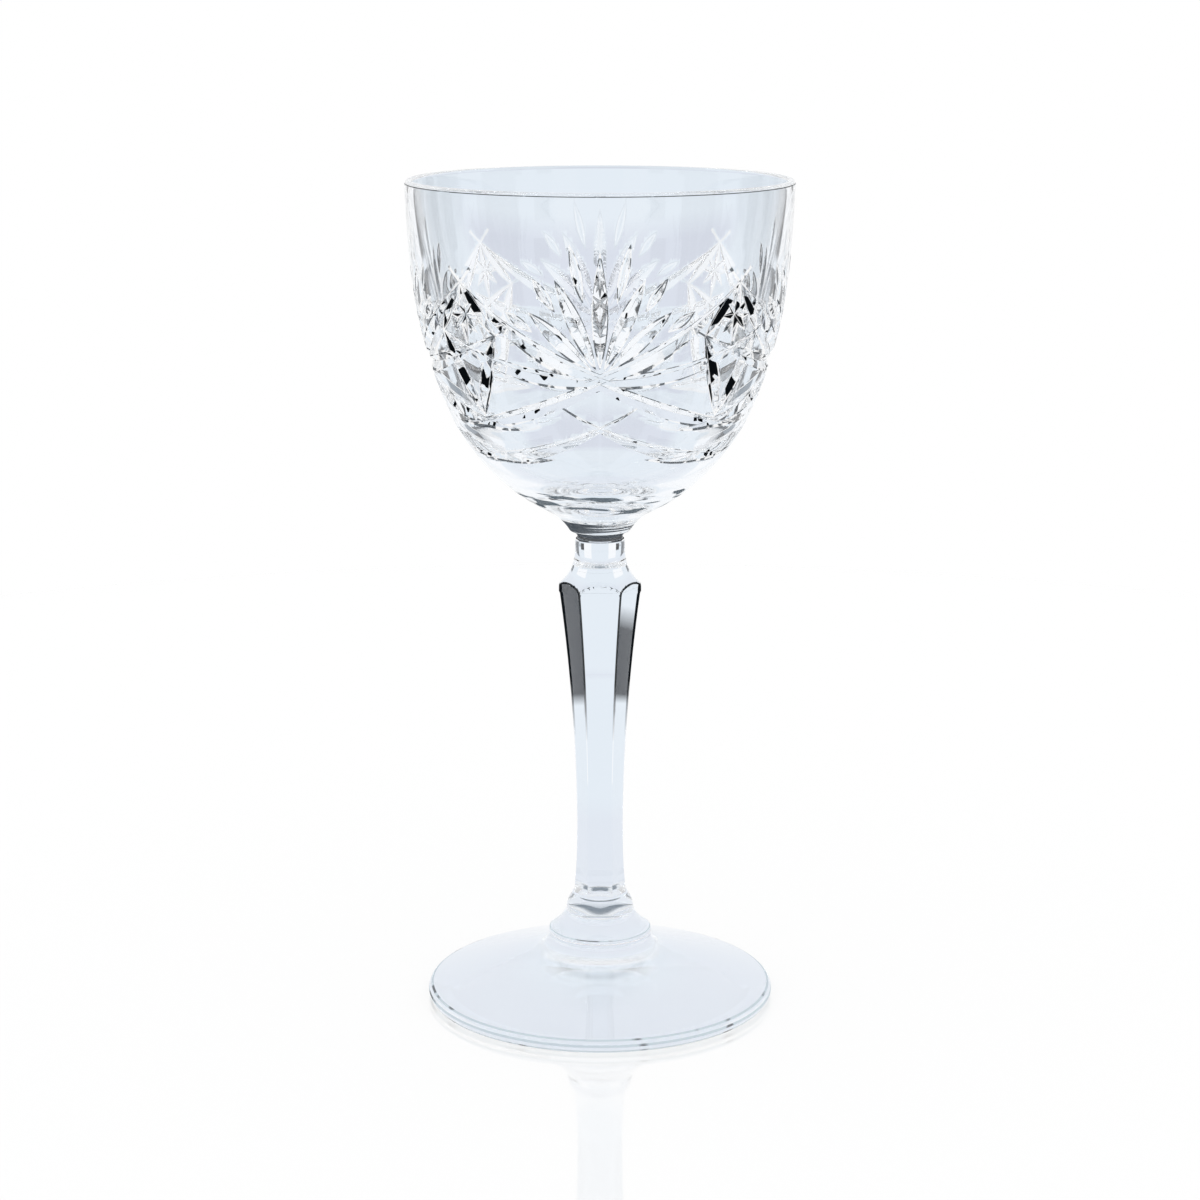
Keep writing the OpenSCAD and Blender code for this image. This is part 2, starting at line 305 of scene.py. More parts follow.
flare_arc = tangent_radius(flare_point, -inward(bottom_lean), lip_point)
flare_centre = flare_point - flare_arc * inward(bottom_lean)
lip_lean = 180 - heading(flare_centre, lip_point)
lip_centre = lip_point + lip_round * inward(lip_lean)
lip_end = lip_centre - lip_round * inward(lip_end_lean)
groove_arc = tangent_radius(seam_point, at(1, 0), lip_end)
groove_centre = seam_point + at(groove_arc, 0)
print(f"arcs of the button: flare {flare_arc:.1f}, lip {lip_round}, groove {groove_arc:.2f} mm")

# %% [markdown]
# The inside follows the outside at the wall's thickness and ends in a floor that is much thicker,
# because the cuts need glass under them and the weight low down keeps the glass standing. The rim is
# fire-polished, so it is a half round and not a flat edge.

# %% Inside of the bowl
inside_lean = 3.5
wall_thickness = 3.68
floor_thickness = 8.9
fan_drop = 34.1

fan_z = rim_z - fan_drop
rim_inside = rim_centre + rim_round * inward(inside_lean)
inside_point = at(skin_radius(fan_z) - wall_thickness, fan_z)
inside_arc = tangent_radius(rim_inside, inward(inside_lean), inside_point)
inside_centre = rim_inside + inside_arc * inward(inside_lean)
floor_point = at(0, seam_high + floor_thickness)
floor_gap = floor_point - inside_centre
floor_arc = (inside_arc**2 - floor_gap.length_squared) / (2 * (inside_arc + floor_gap.y))
floor_centre = floor_point + at(0, floor_arc)
floor_lean = -heading(inside_centre, floor_centre)
print(f"arcs of the inside: wall {inside_arc:.1f}, floor {floor_arc:.1f} mm")

# %% Turn the bowl
bowl_segments = 384
rim_arc = arc(rim_centre, rim_round, -rim_lean, 180 - inside_lean, steps=14)
bowl_outline = [
    at(0, seam_high),
    seam_point,
    *arc(groove_centre, groove_arc, 180, heading(groove_centre, lip_end), steps=6),
    *arc(lip_centre, lip_round, -lip_end_lean, -lip_lean, steps=6),
    *arc(flare_centre, flare_arc, 180 - lip_lean, 180 - bottom_lean, steps=8),
    *arc(bottom_centre, bottom_arc, -bottom_lean, -belly_lean, steps=22),
    *arc(belly_centre, belly_arc, -belly_lean, -wall_lean, steps=18),
    *arc(wall_centre, wall_arc, -wall_lean, -rim_lean, steps=12),
    *rim_arc,
    *arc(inside_centre, inside_arc, -inside_lean, -floor_lean, steps=26),
    *arc(floor_centre, floor_arc, -floor_lean, -90, steps=20),
]
bowl = turn("crystal_bowl", bowl_outline, bowl_segments)
bowl.data.materials.append(blown_material)
print("bowl blank:", len(bowl.data.polygons), "faces")

# %% [markdown]
# The round of the rim and the joint with the stem read as thin dark lines on real crystal, because so
# narrow a round bends light from the dark end of a room to the eye. A white studio has no dark end.
# It could be given black walls, but they would show all over the glass, so the line is painted on the
# narrow strip: part glass and part a plain tone, a painted highlight in places, painted shade in others.
# Seen from inside the glass, the strip lets most light straight out, so that the line isn't doubled.

# %% Painted lines on narrow strips
# Length and height of the waves that polishing after a wheel leaves, in millimetres
wheel_waves = (3, 0.002)
tone_border = 0.03


def let_out(tree, surface, share, walls):
    """A shader that lets a share of the light straight out, once it has passed this many walls."""
    leaving = add(tree, "ShaderNodeNewGeometry")["Backfacing"]
    depth = add(tree, "ShaderNodeLightPath")["Transmission Depth"]
    passed = add(tree, "ShaderNodeMath", {0: depth, 1: walls}, operation="GREATER_THAN")[0]
    both = add(tree, "ShaderNodeMath", {0: leaving, 1: passed}, operation="MULTIPLY")[0]
    part = add(tree, "ShaderNodeMath", {0: both, 1: share}, operation="MULTIPLY")[0]
    clear = add(tree, "ShaderNodeBsdfTransparent")["BSDF"]
    return add(tree, "ShaderNodeMixShader", {"Fac": part, 1: surface, 2: clear})["Shader"]


def with_painted_tone(tree, glass, part, colour):
    """Glass with a plain tone painted on part of its surface, as painted highlight and painted shade."""
    tone = add(tree, "ShaderNodeBsdfDiffuse", {"Color": colour})["BSDF"]
    return add(tree, "ShaderNodeMixShader", {"Fac": part, 1: glass, 2: tone})["Shader"]


def painted_line_crystal(name, pale, dark, dark_over, share, dash_mm=2.5, only_at=None):
    """A narrow strip painted as a thin line: painted highlight in places and painted shade in others."""
    material, tree, place = start_material(name)
    spots = {"Vector": place, "Scale": 1 / (dash_mm * MM), "Detail": 2}
    change = {
        "Value": add(tree, "ShaderNodeTexNoise", spots)["Fac"],
        "From Min": dark_over - tone_border,
        "From Max": dark_over + tone_border,
    }
    darkened = add(tree, "ShaderNodeMapRange", change)["Result"]
    tones = {"Fac": darkened, "Color1": linear(pale), "Color2": linear(dark)}
    colour = add(tree, "ShaderNodeMixRGB", tones)["Color"]
    shown = share
    if only_at:
        limits = {0: only_at(tree, place), 1: share}
        shown = add(tree, "ShaderNodeMath", limits, operation="MULTIPLY")[0]
    strip = with_painted_tone(tree, polished(tree, place, *wheel_waves), shown, colour)
    add(tree, "ShaderNodeOutputMaterial", {"Surface": let_out(tree, strip, share=0.9, walls=0)})
    return material


# Mostly painted shade, so the rim and the joint are drawn as with a fine pen
painted_line_material = painted_line_crystal(
    "crystal_painted_shade_line", "#98A2AA", "#1A1E22", dark_over=0.37, share=0.88
)
print("finish of the rim and seam lines:", painted_line_material.name)

# %% [markdown]
# The bottom of the bowl and the button are thick, and thick round glass draws the room out into level
# grey bands. Real bending alone would need that room round the glass. So the bands are painted shade:
# noise that is stretched sideways paints bands of the right kind, on the outside only, and they stay in
# place in every view.

# %% Painted shade bands in thick glass
band_border = 0.06


def outside_only(tree, part):
    """A part of a surface, left out where it is seen from within the glass."""
    within = add(tree, "ShaderNodeNewGeometry")["Backfacing"]
    without = add(tree, "ShaderNodeMath", {0: 1, 1: within}, operation="SUBTRACT")[0]
    return add(tree, "ShaderNodeMath", {0: part, 1: without}, operation="MULTIPLY")[0]


def painted_band_crystal(name, colour, wide_mm, high_mm, over, share):
    """Thick blown glass with painted shade: level bands of a colour, standing for the room drawn out."""
    material, tree, place = start_material(name)
    stretch = (1 / (wide_mm * MM), 1 / (wide_mm * MM), 1 / (high_mm * MM))
    flat = add(tree, "ShaderNodeVectorMath", {0: place, 1: stretch}, operation="MULTIPLY")["Vector"]
    bands = add(tree, "ShaderNodeTexNoise", {"Vector": flat, "Scale": 1, "Detail": 1})["Fac"]
    change = {"Value": bands, "From Min": over, "From Max": over + band_border, "To Max": share}
    part = outside_only(tree, add(tree, "ShaderNodeMapRange", change)["Result"])
    banded = with_painted_tone(tree, polished(tree, place, *blown_waves), part, linear(colour))
    add(tree, "ShaderNodeOutputMaterial", {"Surface": banded})
    return material


# Painted shade bands nearly all round make the button the darkest part of the bowl
button_painted_bands_material = painted_band_crystal(
    "blown_crystal_button_painted_shade_bands", "#3C444C", wide_mm=40, high_mm=0.62, over=0.38, share=0.92
)
# Shorter, sparser painted shade bands curve round the clear bottom above it
bottom_painted_bands_material = painted_band_crystal(
    "blown_crystal_bottom_painted_shade_bands", "#4A5862", wide_mm=7, high_mm=1.3, over=0.55, share=0.88
)
print("finishes of the thick glass:", button_painted_bands_material.name, "and", bottom_painted_bands_material.name)

# %% [markdown]
# The painted lines and bands go onto rings of faces, which are picked by their height over the seam.
# A vertex group or a click in edit mode would do for one glass. Picking by height still works when
# the packed glass has another size.

# %% Give the bowl its painted lines and bands
seam_line = 0.7
button_rise = 3.8
bottom_low = button_rise + 3
bottom_rise = 12
wall_depth = 0.5
on_ring = 0.02
off_seam = 0.01

rim_line = (rim_point + rim_arc[0]) / 2
for material in (painted_line_material, button_painted_bands_material, bottom_painted_bands_material):
    bowl.data.materials.append(material)
line_slot, button_slot, bottom_slot = 1, 2, 3
for face in bowl.data.polygons:
    spot = at(face.center.xy.length, face.center.z) / MM
    rise = spot.y - seam_high
    outside = spot.x > skin_radius(max(spot.y, flare_point.y)) - wall_depth
    if (spot - rim_line).length < on_ring or off_seam < rise < seam_line:
        face.material_index = line_slot
    elif seam_line < rise < button_rise:
        face.material_index = button_slot
    elif bottom_low < rise < bottom_rise and outside:
        face.material_index = bottom_slot
marked = [face.material_index for face in bowl.data.polygons]
for slot in (line_slot, button_slot, bottom_slot):
    print(bowl.data.materials[slot].name, "is on", marked.count(slot), "faces")

# %% [markdown]
# The cutter holds the bowl against a wheel whose edge is a V, the mitre, and each pass leaves a
# groove that is deep in its middle and runs out at its ends. The edge's way through the glass is an
# arc through three points: two on the skin and one sunk under it. So each cut is a V that the Spin
# tool carries along that arc, and a Boolean takes all of them away. Knife and loop cut can't make
# such a groove, and a bump map would neither bend the light nor show at the silhouette.

# %% Points on and under the bowl's skin
def skin_normal(azimuth, height):
    """Direction out of the glass. Azimuth 0 is the front, at -Y."""
    centre, radius = skin(height)
    rise = (height - centre.y) / radius
    level = math.sqrt(1 - rise**2)
    turned = math.radians(azimuth)
    return Vector((level * math.sin(turned), -level * math.cos(turned), rise))


def sunk(azimuth, height, depth):
    """Point at a depth under the skin."""
    turned = math.radians(azimuth)
    radius = skin_radius(height)
    on_skin = Vector((radius * math.sin(turned), -radius * math.cos(turned), height))
    return on_skin - depth * skin_normal(azimuth, height)


print("one millimetre under the front:", [round(value, 2) for value in sunk(0, fan_z, 1)])

# %% [markdown]
# A cut is dipped in acid, which clears its flanks. They are so steep that some of them show the dark
# end of a room and turn black, facet by facet. The white studio has no dark end, so such facets are
# painted black, as painted shade: cells of a Voronoi pattern, moved along each face's own normal so
# that the two flanks of a cut differ, pick them. The painted black shows only from the outside, and
# from inside the flanks let half of the light straight out. Without that, the far wall, seen through
# the near one, would be a confusion of mirror images.

# %% Flanks of a cut
facet_shift = 8
painted_facet_black = "#0C0F12"


def painted_dark_facets(tree, place, facet_mm, share):
    """1 on a share of facet-like patches painted as black shade, on faces seen from outside, 0 elsewhere.
    """
    normal = add(tree, "ShaderNodeNewGeometry")["True Normal"]
    shift = {0: normal, 1: (facet_shift * MM,) * 3, 2: place}
    moved = add(tree, "ShaderNodeVectorMath", shift, operation="MULTIPLY_ADD")["Vector"]
    patches = {"Vector": moved, "Scale": 1 / (facet_mm * MM)}
    colour = add(tree, "ShaderNodeTexVoronoi", patches)["Color"]
    chance = add(tree, "ShaderNodeSeparateColor", {"Color": colour})["Red"]
    dark = add(tree, "ShaderNodeMath", {0: chance, 1: share}, operation="LESS_THAN")[0]
    return outside_only(tree, dark)


def cut_crystal(name, facet_mm, share):
    """The flanks of a cut: acid-polished, painted black as shade in places, calm when seen through the
    bowl.
    """
    material, tree, place = start_material(name)
    part = painted_dark_facets(tree, place, facet_mm, share)
    flank = with_painted_tone(tree, polished(tree, place, *wheel_waves), part, linear(painted_facet_black))
    add(tree, "ShaderNodeOutputMaterial", {"Surface": let_out(tree, flank, share=0.5, walls=2)})
    return material


# A few painted black facets, as painted shade, in the fan, straps and swags
cut_material = cut_crystal("cut_crystal_acid_polished_painted_dark_facets", facet_mm=1.1, share=0.05)
# Large painted black facets, painted shade, give the star panels their depth
panel_material = cut_crystal("cut_crystal_star_panel_painted_dark_facets", facet_mm=3.2, share=0.4)
print("finishes of the flanks:", cut_material.name, "and", panel_material.name)

# %% [markdown]
# Along its edges and its keel a cut is a little rounded by the acid, and such narrow strips catch the
# lamps as white lines, broken by dark ones. Many small lamps round the glass could light them, but
# not alike from every side, so the white lines are painted highlights, with dashes of painted shade,
# in the painted line material of the rim, with white tones.

# %% Painted highlights on the edges and keels of a cut
# Painted white highlights as outlines, with a painted dark dash here and there
edge_material = painted_line_crystal(
    "cut_crystal_edge_painted_highlight", "#FFFFFF", "#3C4349", dark_over=0.5, share=0.85
)
# The star panels' painted highlight outlines are whiter still, beside their painted black facets
panel_edge_material = painted_line_crystal(
    "cut_crystal_panel_edge_painted_highlight", "#FFFFFF", "#3C4349", dark_over=0.58, share=0.85
)
# A painted white highlight thread at the bottom of each cut
keel_material = painted_line_crystal(
    "cut_crystal_keel_painted_highlight", "#FFFFFF", "#7D868E", dark_over=0.55, share=0.8
)
plain_finishes = (cut_material, edge_material)
panel_finishes = (panel_material, panel_edge_material)
print("finishes of the edges:", edge_material.name, "and", panel_edge_material.name)

# %% [markdown]
# What the wheel sweeps is a solid: the V of its edge, carried along an arc through the three points.
# A curve with a bevel profile could carry the V too, but its tilt would have to be set for each cut.
# Here the V opens straight out of the skin at the middle of the cut, and Spin carries it end to end.
# The faces of the solid have the finishes, flank or keel, and the Boolean hands them on to the glass.

# %% The mitre wheel
wheel_proud = 0.6
run_out = 0.12
cut_steps = 28


def sweep(cut, half_angle, keel, flank_finish, keel_finish):
    """The solid that a wheel's edge sweeps through three points (azimuth, height, depth)."""
    start, middle, end = (sunk(*point) for point in cut)
    axis = (middle - start).cross(end - start)
    centre = start + (
        axis.cross(middle - start) * (end - start).length_squared
        + (end - start).cross(axis) * (middle - start).length_squared
    ) / (2 * axis.length_squared)
    axis.normalize()
    out = (middle - centre).normalized()
    along = axis.cross(out)

    def turned_to(point):
        """Angle from the middle of the cut to a point of it."""
        return math.atan2((point - centre).dot(along), (point - centre).dot(out))

    first, last = (turned_to(point) * (1 + run_out) for point in (start, end))
    normal = skin_normal(*cut[1][:2])
    opening = math.atan2(normal.dot(axis), normal.dot(out))
    outward = math.cos(opening) * out + math.sin(opening) * axis
    sideways = math.cos(opening) * axis - math.sin(opening) * out
    high = cut[1][2] + wheel_proud
    wide = high * math.tan(math.radians(half_angle)) + keel / 2
    profile = [(keel / 2, 0), (wide, high), (-wide, high), (-keel / 2, 0)]
    begin = Matrix.Rotation(first, 3, axis)
    corners = [centre + begin @ (middle + x * sideways + y * outward - centre) for x, y in profile]
    piece = draw("wheel_cut", [p * MM for p in corners])
    bpy.ops.mesh.select_all(action="SELECT")
    bpy.ops.mesh.edge_face_add()
    # Spin turns clockwise about its axis, so the angle is taken the other way round
    bpy.ops.mesh.spin(steps=cut_steps, angle=first - last, center=centre * MM, axis=axis)
    clean()
    piece.data.materials.append(flank_finish)
    piece.data.materials.append(keel_finish)
    limit = math.cos(math.radians(half_angle) / 2)
    for face in piece.data.polygons:
        down = Matrix.Rotation(turned_to(face.center / MM), 3, axis) @ -outward
        face.material_index = int(face.normal.dot(down) > limit)
    return piece


print(f"each cut has {cut_steps} steps and runs on by {run_out:.0%} at both ends")

# %% [markdown]
# A cut with softened edges is two such solids in one: the V itself and a flatter V that only takes
# off its edges. A bevel after the Boolean could round them too, but it fails where cuts cross at
# sharp angles, and here they cross everywhere.

# %% One cut with its edges
mitre_half = 52
edge_half = 71
edge_width = 0.15
keel_width = 0.1


def combine(piece, other, operation):
    """Adds or cuts away another piece, which is then removed."""
    take(piece)
    joint = piece.modifiers.new(operation.lower(), "BOOLEAN")
    joint.operation = operation
    joint.solver = "MANIFOLD"
    joint.material_mode = "TRANSFER"
    joint.object = other
    bpy.ops.object.modifier_apply(modifier=joint.name)
    bpy.data.objects.remove(other)


def mitre(cut, flank_finish, edge_finish):
    """One cut with its polished edges: the V itself, and a flatter V that takes off its edges."""
    piece = sweep(cut, mitre_half, keel_width, flank_finish, keel_material)
    share = math.tan(math.radians(mitre_half)) / math.tan(math.radians(edge_half))
    rest = edge_width / math.tan(math.radians(edge_half))
    edges = [(azimuth, height, depth * share + rest) for azimuth, height, depth in cut]
    combine(piece, sweep(edges, edge_half, keel_width, edge_finish, edge_finish), "UNION")
    return piece


print(f"the V opens by {2 * mitre_half} degrees, its edges are {edge_width} mm wide")

# %% [markdown]
# The pattern is a traditional one: a fan of long and short leaves, a star in a small panel between
# each two fans, and straps and swags that cross below them. It repeats four times round the bowl.
# Only one repeat is written out, as azimuth, height and depth, and most cuts in it have a mirror
# image about the middle of their fan. First come the leaves and the star.

# %% Leaves and stars
repeats = 4
half_repeat = 180 / repeats
peak_rise = 17
star_drop = 6.1
star_z = fan_z + peak_rise - star_drop
star_depth = 0.6
leaf_depth = 1.1
leaf_start = 2.4
tip_depth = 0.6
tip_start = 15
# Angle from upright in degrees, and reach from the middle in millimetres
long_leaves = [(0, 22.8), (22.4, 19.4), (45.2, 17.1)]
short_leaves = [(11.4, 25), (31.6, 21.5), (54, 20.5)]
star_lines = [(0, 5.6), (90, 3.7), (45, 4), (-45, 4)]


def degrees_wide(length, height):
    """A length on the skin as degrees round the bowl."""
    return math.degrees(length / skin_radius(height))


def leaf(angle, start, end, depth):
    """A leaf of a fan, at an angle from upright, between two distances from the fan's middle."""
    reaches = [(start, 0), ((start + end) / 2, depth), (end, 0)]
    across = math.sin(math.radians(angle))
    up = math.cos(math.radians(angle))
    return [(degrees_wide(reach * across, fan_z), fan_z + reach * up, sink) for reach, sink in reaches]


def star_line(angle, reach):
    """A line of the star in the middle of a panel."""
    wide = degrees_wide(reach * math.sin(math.radians(angle)), star_z)
    high = reach * math.cos(math.radians(angle))
    return [
        (half_repeat - wide, star_z - high, 0),
        (half_repeat, star_z, star_depth),
        (half_repeat + wide, star_z + high, 0),
    ]


middle_leaf = leaf(0, leaf_start, long_leaves[0][1], leaf_depth)
side_leaves = [leaf(angle, leaf_start, end, leaf_depth) for angle, end in long_leaves[1:]]
tips = [leaf(angle, tip_start, end, tip_depth) for angle, end in short_leaves]
star = [star_line(angle, reach) for angle, reach in star_lines]
print(f"a fan has {1 + 2 * len(side_leaves)} long and {2 * len(tips)} short leaves")

# %% [markdown]
# The borders of the star panel, the straps that cross in the middle of the fan and the swags below
# are long cuts of one kind. Each is three points: azimuth, height over the fan's middle, and how much
# of the full depth is cut there.

# %% Straps and swags
strap_depth = 1.05
strap_run = 14.4
swag_fall = 16.5
swag_run = 24.3
panel_half = 11.5
panel_mid = half_repeat - panel_half / 2
panel_rise = 7.4
panel_fall = 8.2
panel_shoulder = (half_repeat - panel_half, panel_rise, 0)


def strap(*points):
    """A strap from points (azimuth, height over the fan's middle, part of the full depth)."""
    return [(azimuth, fan_z + rise, strap_depth * part) for azimuth, rise, part in points]


def mirrored(cut):
    """The same cut on the other side of its fan."""
    return [(-azimuth, height, depth) for azimuth, height, depth in cut]


panel_borders = [
    strap((half_repeat, peak_rise, 0), (panel_mid, (peak_rise + panel_rise) / 2, 0.8), panel_shoulder),
    strap(panel_shoulder, (panel_mid, -0.4, 1), (half_repeat, -panel_fall, 0)),
]
straps = [
    strap((-half_repeat - 2, peak_rise + 1, 0), (-half_repeat / 2, 6.1, 1), (2, -0.5, 0.8)),
    strap((-4, -0.2, 0.6), (28, -7.6, 1), (half_repeat + strap_run, -10.6, 0)),
    strap((-3, -0.5, 0.5), (26, 0.8, 1), (half_repeat + panel_half, panel_rise, 0)),
    strap((-9.7, 9.6 - swag_fall, 0), (30, 0.8 - swag_fall, 1), (half_repeat + swag_run, -swag_fall, 0)),
]
paired_cuts = [*side_leaves, *tips, *panel_borders, *straps]
cuts = [middle_leaf, *star, *paired_cuts, *[mirrored(cut) for cut in paired_cuts]]
panel_cuts = [*star, *panel_borders, *[mirrored(cut) for cut in panel_borders]]
print(len(cuts), "cuts in a repeat,", len(panel_cuts), "of them in the star panel")

# %% [markdown]
# One repeat is joined to one solid, which is doubled twice, by a quarter turn and then by a half
# turn. An Array modifier would leave the four overlapping, and the Boolean needs one clean solid.

# %% Cut the bowl
wheel_path = mitre(cuts[0], *plain_finishes)
for cut in cuts[1:]:
    finishes = panel_finishes if cut in panel_cuts else plain_finishes
    combine(wheel_path, mitre(cut, *finishes), "UNION")
quarter_turn = 360 / repeats
for turned in (quarter_turn, 2 * quarter_turn):
    take(wheel_path)
    bpy.ops.object.duplicate()
    copy = bpy.context.object
    copy.data.transform(Matrix.Rotation(math.radians(turned), 4, "Z"))
    combine(wheel_path, copy, "UNION")
print("cutters:", len(wheel_path.data.polygons), "faces")
combine(bowl, wheel_path, "DIFFERENCE")
print("cut bowl:", len(bowl.data.polygons), "faces")

# %% [markdown]
# The stem is drawn from a gather, so it starts as a round bar with a neck and a flared shoulder.
# Six panels are then ground along it with the rim of a large wheel, which leaves each one slightly
# hollow: it is narrowest near the foot and spreads towards both ends. The panels could be six moved
# edges of a hexagon, but grinding them with a Boolean also gives the arched line in which a flat
# panel meets the round shoulder.

# %% Turn the stem
neck_r = 4.95
neck_flare = 9.5
neck_round = 0.5
neck_top_turn = 60
shoulder_r = 8.15
shoulder_round = 0.9
shoulder_z = seam_high - 9.8
stem_segments = 192

shoulder_centre = at(shoulder_r - shoulder_round, shoulder_z)
flare_gap = neck_r + neck_flare - shoulder_centre.x
shoulder_turn = math.degrees(math.acos(flare_gap / (neck_flare + shoulder_round)))
neck_centre = arc(shoulder_centre, neck_flare + shoulder_round, 0, shoulder_turn, steps=1)[0]
neck_top_centre = at(neck_r - neck_round, seam_high - neck_round)

stem_outline = [
    at(0, seam_low),
    at(shoulder_r, seam_low),
    at(shoulder_r, shoulder_z),
    *arc(shoulder_centre, shoulder_round, 0, shoulder_turn, steps=8),
    *arc(neck_centre, neck_flare, 180 + shoulder_turn, 180, steps=16),
    neck_top_centre + at(neck_round, 0),
    *arc(neck_top_centre, neck_round, 0, neck_top_turn, steps=6),
    seam_point,
    at(0, seam_high),
]
stem = turn("crystal_stem", stem_outline, stem_segments)
# Clear, with shorter waves than the bowl's, because a drawn stem is thinner
stem.data.materials.append(crystal("drawn_crystal_fire_polished", wave_mm=12, wave_height_mm=0.01))
print("stem blank:", len(stem.data.polygons), "faces")

# %% [markdown]
# The ground edges of the upper stem are painted black lines, and so are the borders of the panels at
# its sides, while the front and back panels stay clear: painted shade, where real crystal bends in the
# dark of a room. Where a side panel is seen at a glance, its outer border shows a broader painted shade
# line, as polished glass goes dark at its silhouette. All of it fades out halfway down. Masks by height
# and by direction round the stem hold these lines in place. The direction is folded to a quarter,
# because the stem is alike on its left and right and on its front and back.

# %% Masks for the stem's painted lines
panels = 6
front_half = 180 / panels
line_fade_low = 54
line_fade_high = 66
arch_z = shoulder_z - 0.3
strip_half = 1


def bearing(tree, direction):
    """Degrees round the upright axis, from +Y towards +X."""
    way = add(tree, "ShaderNodeSeparateXYZ", {"Vector": direction})
    turned = add(tree, "ShaderNodeMath", {0: way["X"], 1: way["Y"]}, operation="ARCTAN2")[0]
    return add(tree, "ShaderNodeMath", {0: turned}, operation="DEGREES")[0]


def round_quarter(tree, place):
    """Degrees round the stem: 0 in the middle of the front and back panels, 90 at both sides."""
    return add(tree, "ShaderNodeMath", {0: bearing(tree, place), 1: 90}, operation="PINGPONG")[0]


def upper_part(tree, place):
    """1 on the upper stem, fading to 0 below its middle."""
    height = add(tree, "ShaderNodeSeparateXYZ", {"Vector": place})["Z"]
    fade = {"Value": height, "From Min": line_fade_low * MM, "From Max": line_fade_high * MM}
    return add(tree, "ShaderNodeMapRange", fade)["Result"]


def edges_shown(tree, place):
    """Where the stem's painted dark edge lines show: on its upper part, and on the side panels' arches.
    """
    height = add(tree, "ShaderNodeSeparateXYZ", {"Vector": place})["Z"]
    upright = add(tree, "ShaderNodeMath", {0: height, 1: arch_z * MM}, operation="LESS_THAN")[0]
    limits = {0: round_quarter(tree, place), 1: front_half - strip_half}
    beside = add(tree, "ShaderNodeMath", limits, operation="GREATER_THAN")[0]
    shown = add(tree, "ShaderNodeMath", {0: upright, 1: beside}, operation="MAXIMUM")[0]
    limits = {0: shown, 1: upper_part(tree, place)}
    return add(tree, "ShaderNodeMath", limits, operation="MULTIPLY")[0]


print(f"lines fade out from {line_fade_high} to {line_fade_low} mm over the table")

# %% [markdown]
# A panel is ground on a stone and then polished, which leaves it flatter than blown glass, with fine
# waves across it. Its painted dark borders could be strips of faces, but a mask in the material paints
# the same lines and leaves each panel one smooth surface.

# %% Ground and polished panels
ground_waves = (6, 0.004)
painted_border_black = "#12161A"
# How far a panel turns from the eye where its painted dark outer line begins, and where it is fully there
glance_from = 0.25
glance_full = 0.45


def panel_crystal(name, border, outer_border):
    """Ground panels; those at the sides get painted shade borders, in degrees, the outer one at a glance.
    """
    material, tree, place = start_material(name)
    across = round_quarter(tree, place)
    beside = add(tree, "ShaderNodeMath", {0: across, 1: front_half}, operation="GREATER_THAN")[0]
    limits = {0: across, 1: front_half + border}
    close = add(tree, "ShaderNodeMath", limits, operation="LESS_THAN")[0]
    inner = add(tree, "ShaderNodeMath", {0: beside, 1: close}, operation="MULTIPLY")[0]
    limits = {0: across, 1: 90 - outer_border}
    far = add(tree, "ShaderNodeMath", limits, operation="GREATER_THAN")[0]
    facing = add(tree, "ShaderNodeLayerWeight", {"Blend": 0.5})["Facing"]
    rise = {"Value": facing, "From Min": glance_from, "From Max": glance_full}
    glance = add(tree, "ShaderNodeMapRange", rise)["Result"]
    outer = add(tree, "ShaderNodeMath", {0: far, 1: glance}, operation="MULTIPLY")[0]
    lines = add(tree, "ShaderNodeMath", {0: inner, 1: outer}, operation="MAXIMUM")[0]
    limits = {0: outside_only(tree, lines), 1: upper_part(tree, place)}
    part = add(tree, "ShaderNodeMath", limits, operation="MULTIPLY")[0]
    panel = with_painted_tone(tree, polished(tree, place, *ground_waves), part, linear(painted_border_black))
    add(tree, "ShaderNodeOutputMaterial", {"Surface": panel})
    return material


# Clear panels between painted black shade lines, which draw the stem's six sides
ground_material = panel_crystal("ground_crystal_panel_painted_dark_borders", border=2, outer_border=10)
# The edges between the panels, painted black as shade on the upper stem
ground_edge_material = painted_line_crystal(
    "ground_crystal_edge_painted_dark_line", painted_border_black, painted_border_black, dark_over=0.5, share=0.95, only_at=edges_shown
)
print("finishes of the stem:", ground_material.name, "and", ground_edge_material.name)

# %% [markdown]
# The rim of the grinding wheel is an arc along the stem, deepest at the waist. Two arcs meet there, a
# long one up to the shoulder and a short one down to the foot. A block with that side is pushed
# through the bar once for each panel.

# %% Grind the panels
waist_half = 4.1
waist_z = seam_low + 11.7
shoulder_half = 7.15
end_half = 4.65
panel_clear = 16
panel_steps = 60


def wheel_radius(rise, depth):
    """Radius of the wheel whose rim is this deep at this distance from the waist."""
    return (rise**2 + depth**2) / (2 * depth)


upper_wheel = wheel_radius(shoulder_z - waist_z, shoulder_half - waist_half)
lower_wheel = wheel_radius(waist_z - seam_low, end_half - waist_half)


def panel_out(height):
    """Distance of a panel from the axis at this height."""
    wheel = upper_wheel if height > waist_z else lower_wheel
    return waist_half + wheel - math.sqrt(wheel**2 - (height - waist_z) ** 2)


